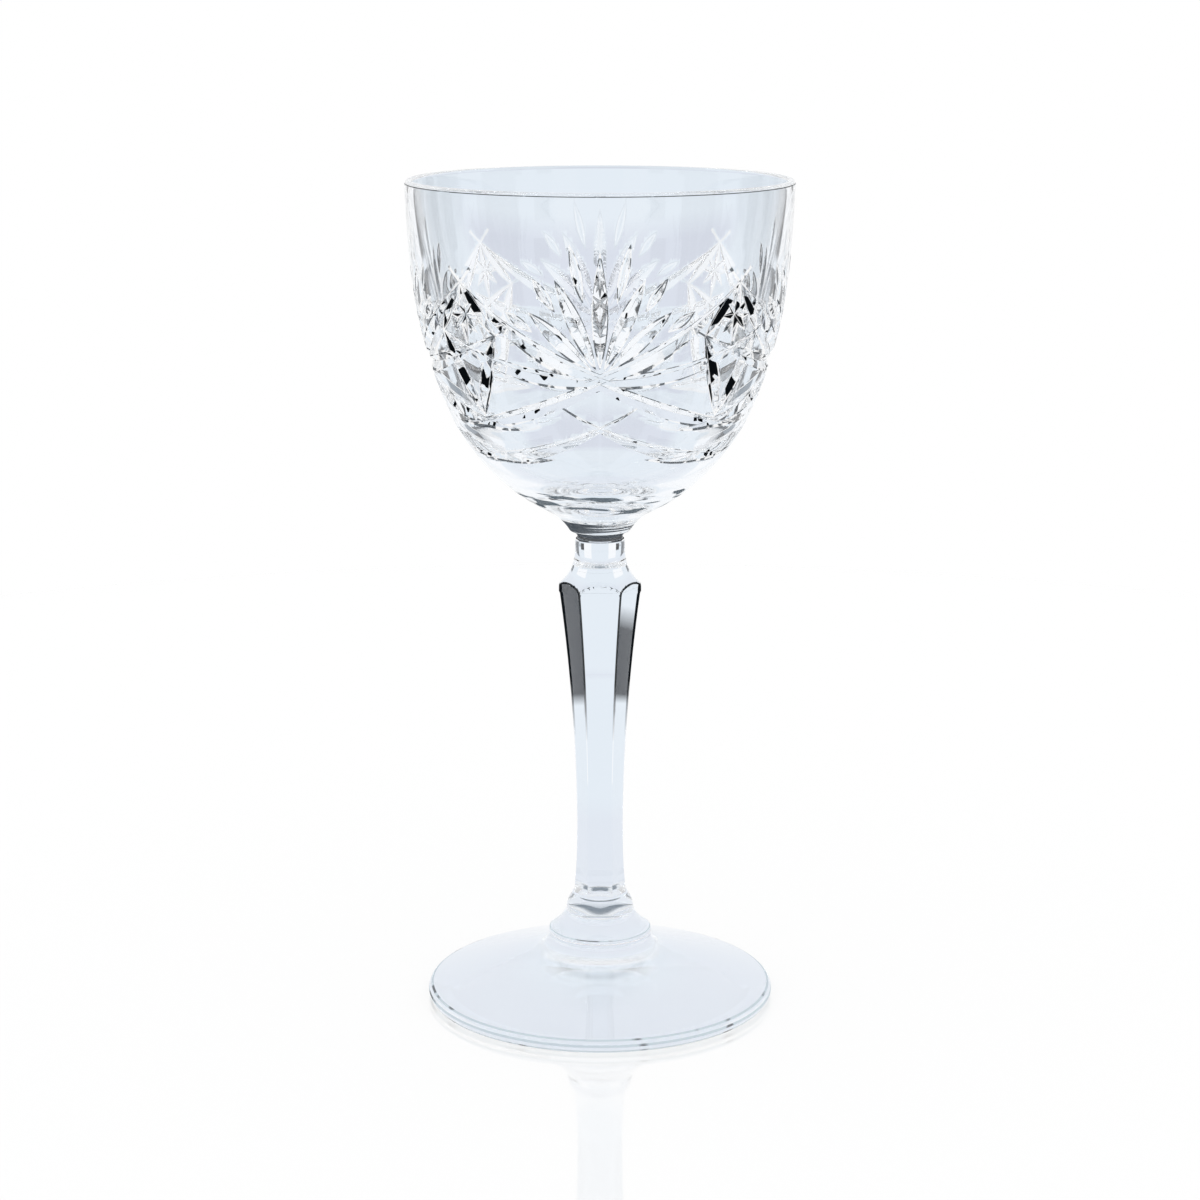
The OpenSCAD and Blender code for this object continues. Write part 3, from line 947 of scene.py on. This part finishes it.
def panel_cutter(turned):
    """What the wheel takes away at one panel, whose outward direction is turned from X."""
    low = seam_low - 1
    high = seam_high
    heights = [low + (high - low) * i / panel_steps for i in range(panel_steps + 1)]
    side = [Vector((panel_out(z), -panel_clear, z)) for z in heights]
    corners = [Vector((panel_clear, -panel_clear, z)) for z in (high, low)]
    piece = draw("panel_cut", [p * MM for p in (*side, *corners)])
    bpy.ops.mesh.select_all(action="SELECT")
    bpy.ops.mesh.edge_face_add()
    bpy.ops.mesh.extrude_region_move(TRANSFORM_OT_translate={"value": (0, 2 * panel_clear * MM, 0)})
    clean()
    piece.data.transform(Matrix.Rotation(math.radians(turned), 4, "Z"))
    piece.data.materials.append(ground_material)
    return piece


for i in range(panels):
    combine(stem, panel_cutter(360 / panels * i - 90), "DIFFERENCE")
print(f"wheels of {upper_wheel:.0f} and {lower_wheel:.0f} mm radius ground {panels} panels")

# %% [markdown]
# Polishing takes the sharpness off the edges between the panels. The Bevel tool does the same to all
# edges that turn by more than a few degrees, and gives the new narrow faces the edge material with
# its painted black line. The two end faces stay as they are, because they meet the bowl and the foot.

# %% Soften the stem's edges
stem_edge_width = 0.24
edge_over = math.radians(12)
off_end = 0.01

stem.data.materials.append(ground_edge_material)
take(stem)
bpy.ops.object.mode_set(mode="EDIT")
bpy.ops.mesh.select_mode(type="EDGE")
bpy.ops.mesh.select_all(action="DESELECT")
shape = bmesh.from_edit_mesh(stem.data)
for edge in shape.edges:
    heights = [vertex.co.z / MM for vertex in edge.verts]
    between_ends = all(seam_low + off_end < z < seam_high - off_end for z in heights)
    edge.select = between_ends and edge.calc_face_angle() > edge_over
shape.select_flush_mode()
bmesh.update_edit_mesh(stem.data)
bpy.ops.mesh.bevel(offset=stem_edge_width * MM, segments=1, material=len(stem.data.materials) - 1)
bpy.ops.mesh.select_mode(type="VERT")
bpy.ops.object.mode_set(mode="OBJECT")
print("ground stem:", len(stem.data.polygons), "faces")

# %% [markdown]
# The foot is turned too: a collar in two tiers where it takes the stem, a slope that is almost
# straight, a rounded edge and a shallow hollow underneath, so that it stands on a ring. A spun foot
# has no flat parts, so arcs that touch each other give all of it.

# %% Collar of the foot
collar_ledge = 0.23
upper_tier_bulge = 1.2
upper_tier_h = 3.5
lower_tier_r = 10.4
lower_tier_drop = 7.8
lower_tier_round = 0.9
ledge_turn = 58

collar_point = at(end_half / math.cos(math.pi / panels) + collar_ledge, seam_low)
tier_point = collar_point + at(upper_tier_bulge, -upper_tier_h)
tier_arc = tangent_radius(tier_point, at(-1, 0), collar_point)
tier_centre = tier_point - at(tier_arc, 0)
ledge_centre = at(lower_tier_r - lower_tier_round, seam_low - lower_tier_drop)
ledge_side = at(math.cos(math.radians(ledge_turn)), math.sin(math.radians(ledge_turn)))
ledge_point = ledge_centre + lower_tier_round * ledge_side
ledge_arc = tangent_radius(ledge_point, ledge_side, tier_point)
ledge_flare_centre = ledge_point + ledge_arc * ledge_side
ledge_start = heading(ledge_flare_centre, tier_point) + 360
print(f"arcs of the collar: upper tier {tier_arc:.2f}, ledge {ledge_arc:.2f} mm")

# %% Slope, edge and hollow of the foot
collar_hollow = 4.5
edge_round = 1.4
rest_width = 3.4
kick_up = 1.2

hollow_centre = at(lower_tier_r + collar_hollow, ledge_centre.y)
edge_centre = at(foot_r - edge_round, edge_round)
edge_gap = (edge_centre - hollow_centre).length
lean_in = math.degrees(math.asin((collar_hollow + edge_round) / edge_gap))
slope = heading(hollow_centre, edge_centre) + lean_in
hollow_end = arc(hollow_centre, collar_hollow, 180, 270 + slope, steps=1)[0]
edge_start = arc(edge_centre, edge_round, 0, 90 + slope, steps=1)[0]
rest_r = edge_centre.x - rest_width
kick_arc = (rest_r**2 + kick_up**2) / (2 * kick_up)
kick_turn = math.degrees(math.asin(rest_r / kick_arc))
print(f"the foot slopes by {-slope:.1f} degrees and rests on a ring {rest_width} mm wide")

# %% Turn the foot
foot_segments = 360
slope_steps = 16
on_place = 0.01

foot_outline = [
    at(0, seam_low),
    at(waist_half, seam_low),
    collar_point,
    *arc(tier_centre, tier_arc, heading(tier_centre, collar_point), 0, steps=8),
    *arc(ledge_flare_centre, ledge_arc, ledge_start, 180 + ledge_turn, steps=10),
    *arc(ledge_centre, lower_tier_round, ledge_turn, 0, steps=8),
    *arc(hollow_centre, collar_hollow, 180, 270 + slope, steps=14),
    *[hollow_end.lerp(edge_start, i / slope_steps) for i in range(1, slope_steps + 1)],
    *arc(edge_centre, edge_round, 90 + slope, -90, steps=16),
    at(rest_r, 0),
    *arc(at(0, kick_up - kick_arc), kick_arc, 90 - kick_turn, 90, steps=24),
]
foot = turn("crystal_foot", foot_outline, foot_segments)
# The ring of vertices on top takes the stem's hexagon, so that the seam has the stem's shape
for vertex in foot.data.vertices:
    on_top = abs(vertex.co.z / MM - seam_low) < on_place
    if on_top and abs(vertex.co.xy.length / MM - waist_half) < on_place:
        side = math.atan2(vertex.co.y, vertex.co.x) % (math.tau / panels) - math.pi / panels
        vertex.co.xy *= end_half / math.cos(side) / waist_half
print("foot:", len(foot.data.polygons), "faces")

# %% [markdown]
# Light that enters the foot from above should leave it below, into the table. A smooth underside
# mirrors most of it back instead, and the foot fills with bright swirls. So its underside, away from
# the middle, lets the light straight out. Under the collar it stays plain glass, where the rings of
# the stem's end are to be seen.

# %% Spun crystal of the foot
spun_waves = (20, 0.01)
under_below = 1.3
clear_from = 5
clear_full = 11
clear_share = 0.9


def foot_crystal(name):
    """The foot: its underside, away from the middle, lets the light out to the table."""
    material, tree, place = start_material(name)
    axes = add(tree, "ShaderNodeSeparateXYZ", {"Vector": place})
    flat = add(tree, "ShaderNodeCombineXYZ", {"X": axes["X"], "Y": axes["Y"]})["Vector"]
    radius = add(tree, "ShaderNodeVectorMath", {0: flat}, operation="LENGTH")["Value"]
    away = {
        "Value": radius,
        "From Min": clear_from * MM,
        "From Max": clear_full * MM,
        "To Max": clear_share,
    }
    limits = {0: axes["Z"], 1: under_below * MM}
    under = add(tree, "ShaderNodeMath", limits, operation="LESS_THAN")[0]
    limits = {0: add(tree, "ShaderNodeMapRange", away)["Result"], 1: under}
    share = add(tree, "ShaderNodeMath", limits, operation="MULTIPLY")[0]
    surface = let_out(tree, polished(tree, place, *spun_waves), share, walls=0)
    add(tree, "ShaderNodeOutputMaterial", {"Surface": surface})
    return material


# An even, clear disc, through which the table shows
foot.data.materials.append(foot_crystal("spun_crystal_fire_polished"))
print("finish of the foot:", foot.data.materials[0].name)

# %% [markdown]
# The rounded edge of the foot and the ledge of its collar read as fine lines that run round it, for
# the same reason as the rim, so they are painted too: mostly painted highlight, with painted shade in
# it. A mask by height would run wide where the round is nearly level, so the lines are rings of faces,
# picked by their angle on the round.

# %% Painted lines round the foot
edge_angles = (62, 12, -40)
ring_half = 6
ledge_angles = (36, 50)
on_round = 0.05


def around(face, centre):
    """Distance of a face from the centre of a round, and its direction from there in degrees."""
    spot = at(face.center.xy.length, face.center.z) / MM
    return (spot - centre).length, heading(centre, spot)


# Longer dashes than on the cuts, mostly painted highlight, like a bright edge with some painted shade in
# it
foot_line = painted_line_crystal(
    "foot_edge_painted_lines", "#C2D0D8", "#20272C", dark_over=0.6, share=0.75, dash_mm=7
)
foot.data.materials.append(foot_line)
for face in foot.data.polygons:
    reach, angle = around(face, edge_centre)
    on_edge = abs(reach - edge_round) < on_round and abs(angle) < 90
    ring = on_edge and any(abs(angle - middle) < ring_half for middle in edge_angles)
    reach, angle = around(face, ledge_centre)
    on_ledge = abs(reach - lower_tier_round) < on_round and ledge_angles[0] < angle < ledge_angles[1]
    face.material_index = int(ring or on_ledge)
print("faces in the foot's lines:", sum(face.material_index for face in foot.data.polygons))

# %% [markdown]
# The three pieces are fused in the real glass, so light passes from one to the next as if no face
# were there. They could be joined to one mesh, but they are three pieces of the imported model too. So
# the faces of the two seams get a finish of their own that bends no light.

# %% Fused seams
flat_over = 0.999
on_seam = 0.01

# Nothing to see at all: the light goes on as if the pieces were one
seam_material, tree, _ = start_material("fused_crystal_seam")
clear = add(tree, "ShaderNodeBsdfTransparent")["BSDF"]
add(tree, "ShaderNodeOutputMaterial", {"Surface": clear})


def fuse(piece):
    """Gives the seam finish to the faces where a piece meets the next one."""
    mesh = piece.data
    mesh.materials.append(seam_material)
    for face in mesh.polygons:
        level = abs(face.normal.z) > flat_over
        at_seam = any(abs(face.center.z / MM - seam) < on_seam for seam in (seam_low, seam_high))
        reach = max(mesh.vertices[v].co.xy.length for v in face.vertices) / MM
        if level and at_seam and reach < collar_point.x - on_seam:
            face.material_index = len(mesh.materials) - 1


for piece in (bowl, stem, foot):
    fuse(piece)
    fused = [face for face in piece.data.polygons if face.material_index == len(piece.data.materials) - 1]
    print(piece.name, "has", len(fused), "faces in its seams")

# %% [markdown]
# Polished glass has sharp lines where a cut meets the skin and is smooth everywhere else, so each
# edge is smooth or sharp by its angle. The narrow faces along the cuts are there to round their
# edges. Weighted normals let the broad faces keep their own direction, and the narrow ones turn
# between them. More segments would round them too, at many times the number of faces.

# %% Smooth and sharp edges
sharp_over = math.radians(15)
sharp_edge_over = math.radians(60)
narrow_finishes = (edge_material, panel_edge_material, keel_material, ground_edge_material)


def shade(piece, soft):
    """Makes each edge smooth or sharp by its angle, with a wider limit beside the narrow faces."""
    take(piece)
    bpy.ops.object.shade_smooth()
    shape = bmesh.new()
    shape.from_mesh(piece.data)
    for edge in shape.edges:
        softened = any(soft[face.material_index] for face in edge.link_faces)
        edge.smooth = edge.calc_face_angle() < (sharp_edge_over if softened else sharp_over)
    shape.to_mesh(piece.data)
    shape.free()


def soften(piece, soft):
    """Lets the narrow faces along the cuts turn smoothly from one broad face to the next."""
    for strength, wanted in (("WEAK", True), ("STRONG", False)):
        for face in piece.data.polygons:
            face.select = soft[face.material_index] == wanted
        bpy.ops.object.mode_set(mode="EDIT")
        bpy.ops.mesh.mod_weighted_strength(set=True, face_strength=strength)
        bpy.ops.object.mode_set(mode="OBJECT")
    blend = piece.modifiers.new("softened edges", "WEIGHTED_NORMAL")
    blend.keep_sharp = True
    blend.use_face_influence = True
    bpy.ops.object.modifier_apply(modifier=blend.name)


for piece in (bowl, stem, foot):
    soft = [material in narrow_finishes for material in piece.data.materials]
    shade(piece, soft)
    if any(soft):
        soften(piece, soft)
    sharp = sum(edge.use_edge_sharp for edge in piece.data.edges)
    print(piece.name, "has", sharp, "sharp edges of", len(piece.data.edges))

# %% [markdown]
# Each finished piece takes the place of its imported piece. Nothing on the glass moves, so all three
# ride on the same body.

# %% Put the pieces in their places
def place_piece(piece, node):
    """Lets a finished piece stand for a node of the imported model."""
    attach(piece, "root")
    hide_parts(node)
    print(piece.name, "stands for", node, "with", len(piece.data.polygons), "faces")


place_piece(bowl, "bowl")
place_piece(stem, "stem")
place_piece(foot, "foot")

# %% [markdown]
# Clear glass has no colour of its own and shows only what stands round it. A photographer puts dark
# and tinted cards round it, out of the picture, so that its edges and thick parts stand out from a
# white ground. The cards could be planes in the scene. Here they are part of the studio's colour by
# direction, which only light that has passed through the glass sees, so the ground stays white.

# %% Cards round the glass
Card = namedtuple("Card", "azimuths heights border tone")

white = linear("#FFFFFF")
light = linear("#F8FBFF")
sky = linear("#E3ECF5")
pale_lilac = linear("#E0E7F1")
lilac = linear("#D6DCE9")
slate = linear("#7C8894")
shadow = linear("#4A5058")
dark = linear("#14181D")
night = linear("#02192A")

# Directions in degrees, from +Y towards +X and over the horizon, folded to one quarter of the room
quarter_cards = [
    Card((0, 90), (4, 14), 5, light),
    Card((0, 90), (-80, -42), 6, pale_lilac),
    Card((15, 30), (-32, 1), 1, light),
    Card((0, 5), (-14, -10.3), 1.5, lilac),
    Card((40, 50), (-14, -10.3), 1.5, lilac),
    Card((85, 90), (-14, -10.3), 1.5, lilac),
    Card((31, 39.5), (-18, -8), 1, dark),
    Card((50.5, 79), (-36, -8), 1, shadow),
    Card((55, 79), (-8, 0), 1, slate),
    # Straight down, on the table under the stem, a painted grey shadow that shows through the glass
    Card((0, 90), (-90, -87.2), 1.2, slate),
]
# Cards that stand in one place only: two for the stem's side panels, three overhead for the bowl
single_cards = [
    Card((38, 48), (-15.2, 3), 1.8, night),
    Card((312, 322), (-15.2, -5), 1.4, night),
    Card((120, 175), (27, 82), 4, shadow),
    Card((185, 240), (27, 82), 4, shadow),
    Card((125, 235), (24.5, 34), 1, dark),
]
print(len(quarter_cards), "cards in each quarter,", len(single_cards), "single ones")

# %% [markdown]
# The colour of the studio is worked out from a direction: the ground tone first, and then each card
# laid over it, with a soft border. The same function serves the far room and the table.

# %% Colour of the studio
def between(tree, value, low, high, border):
    """1 where a value lies between two limits, 0 elsewhere, with a soft border."""
    limits = {"Value": value, "From Min": low - border, "From Max": low}
    rise = add(tree, "ShaderNodeMapRange", limits)["Result"]
    limits = {"Value": value, "From Min": high, "From Max": high + border}
    fall = add(tree, "ShaderNodeMapRange", limits)["Result"]
    return add(tree, "ShaderNodeMath", {0: rise, 1: fall}, operation="SUBTRACT")[0]


def studio(tree, direction):
    """Colour of the studio in a direction from the bowl, as it shows through the glass."""
    up = add(tree, "ShaderNodeSeparateXYZ", {"Vector": direction})["Z"]
    lifted = add(tree, "ShaderNodeMath", {0: up}, operation="ARCSINE")[0]
    height = add(tree, "ShaderNodeMath", {0: lifted}, operation="DEGREES")[0]
    turned = bearing(tree, direction)
    quarter = add(tree, "ShaderNodeMath", {0: turned, 1: 90}, operation="PINGPONG")[0]
    once = add(tree, "ShaderNodeMath", {0: turned, 1: 360, 2: 0}, operation="WRAP")[0]
    colour = sky
    placed = [(quarter, card) for card in quarter_cards] + [(once, card) for card in single_cards]
    for azimuth, card in placed:
        beside = between(tree, azimuth, *card.azimuths, card.border)
        level = between(tree, height, *card.heights, card.border)
        part = add(tree, "ShaderNodeMath", {0: beside, 1: level}, operation="MULTIPLY")[0]
        layers = {"Fac": part, "Color1": colour, "Color2": card.tone}
        colour = add(tree, "ShaderNodeMixRGB", layers)["Color"]
    return colour


print("ground tone of the studio in linear light:", [round(value, 2) for value in sky[:3]])

# %% [markdown]
# The room is white all round and lights the glass evenly. Lamps would add hard highlights, which a
# glass in a light tent doesn't have.

# %% White room
world = bpy.data.worlds.new("white_studio")
bpy.context.scene.world = world
tree = empty_tree(world)
through_glass = add(tree, "ShaderNodeLightPath")["Is Transmission Ray"]
direction = add(tree, "ShaderNodeTexCoord")["Generated"]
tones = {"Fac": through_glass, "Color1": white, "Color2": studio(tree, direction)}
colour = add(tree, "ShaderNodeMixRGB", tones)["Color"]
backdrop = add(tree, "ShaderNodeBackground", {"Color": colour, "Strength": 1})["Background"]
add(tree, "ShaderNodeOutputWorld", {"Surface": backdrop})
print("the room has", len(tree.nodes), "nodes")

# %% [markdown]
# The table is white and glossy, as a lacquered board: it mirrors the foot faintly and fades into the
# white ground. Part of its white is light of its own, so that it is as white as the room behind it.
# A round disc has no corner that could show through the glass.

# %% Table
table_radius = 0.42
table_sides = 96
own_light = 0.7
glow_strength = 1.05
lacquer_ior = 2.8
lacquer_roughness = 0.03
bowl_middle = (0, 0, 0.11)

start_alone()
bpy.ops.mesh.primitive_circle_add(vertices=table_sides, radius=table_radius, fill_type="NGON")
floor = bpy.context.object
floor.name = "floor"
# White lacquer with a soft mirror image that grows towards the far side
table, tree, place = start_material("white_gloss_table")
matt = add(tree, "ShaderNodeBsdfDiffuse", {"Color": linear("#F2F2F2")})["BSDF"]
glow = add(tree, "ShaderNodeEmission", {"Color": white, "Strength": glow_strength})["Emission"]
body = add(tree, "ShaderNodeMixShader", {"Fac": own_light, 1: matt, 2: glow})["Shader"]
gloss = add(tree, "ShaderNodeBsdfGlossy", {"Color": white, "Roughness": lacquer_roughness})["BSDF"]
polish = add(tree, "ShaderNodeFresnel", {"IOR": lacquer_ior})["Fac"]
lacquer = add(tree, "ShaderNodeMixShader", {"Fac": polish, 1: body, 2: gloss})["Shader"]
print("table radius:", table_radius / MM, "mm")

# %% [markdown]
# Through the glass, the table shows the studio's cards too, as they lie in the direction from the
# middle of the bowl. So a card that reaches below the horizon goes on across the table.

# %% Cards on the table
from_bowl = add(tree, "ShaderNodeVectorMath", {0: place, 1: bowl_middle}, operation="SUBTRACT")["Vector"]
direction = add(tree, "ShaderNodeVectorMath", {0: from_bowl}, operation="NORMALIZE")["Vector"]
tint = add(tree, "ShaderNodeEmission", {"Color": studio(tree, direction), "Strength": 1})["Emission"]
through_glass = add(tree, "ShaderNodeLightPath")["Is Transmission Ray"]
surface = add(tree, "ShaderNodeMixShader", {"Fac": through_glass, 1: lacquer, 2: tint})["Shader"]
add(tree, "ShaderNodeOutputMaterial", {"Surface": surface})
floor.data.materials.append(table)
print("the table has", len(tree.nodes), "nodes")

# %% [markdown]
# The camera looks slightly down on the glass, with a longish lens, so that the rim and the foot are
# flat ellipses and the stem stays upright. Light passes many walls of glass, so it may bounce often.

# %% Camera
camera_place = (0, -0.536, 0.2034)
camera_tilt = 12.76
camera_lens = 83.04
glass_bounces = 32
clear_bounces = 16

camera = bpy.data.objects.new("camera", bpy.data.cameras.new("camera"))
scene = bpy.context.scene
scene.collection.objects.link(camera)
camera.location = camera_place
camera.rotation_euler = (math.radians(90 - camera_tilt), 0, 0)
camera.data.sensor_width = 36
camera.data.lens = camera_lens
camera.data.clip_start = 0.01
camera.data.clip_end = 20
scene.camera = camera
scene.view_settings.view_transform = "Standard"
scene.cycles.max_bounces = glass_bounces
scene.cycles.transmission_bounces = glass_bounces
scene.cycles.glossy_bounces = glass_bounces
scene.cycles.transparent_max_bounces = clear_bounces
print(f"camera {-camera_place[1] / MM:.0f} mm in front of the glass, {camera_tilt} degrees down")
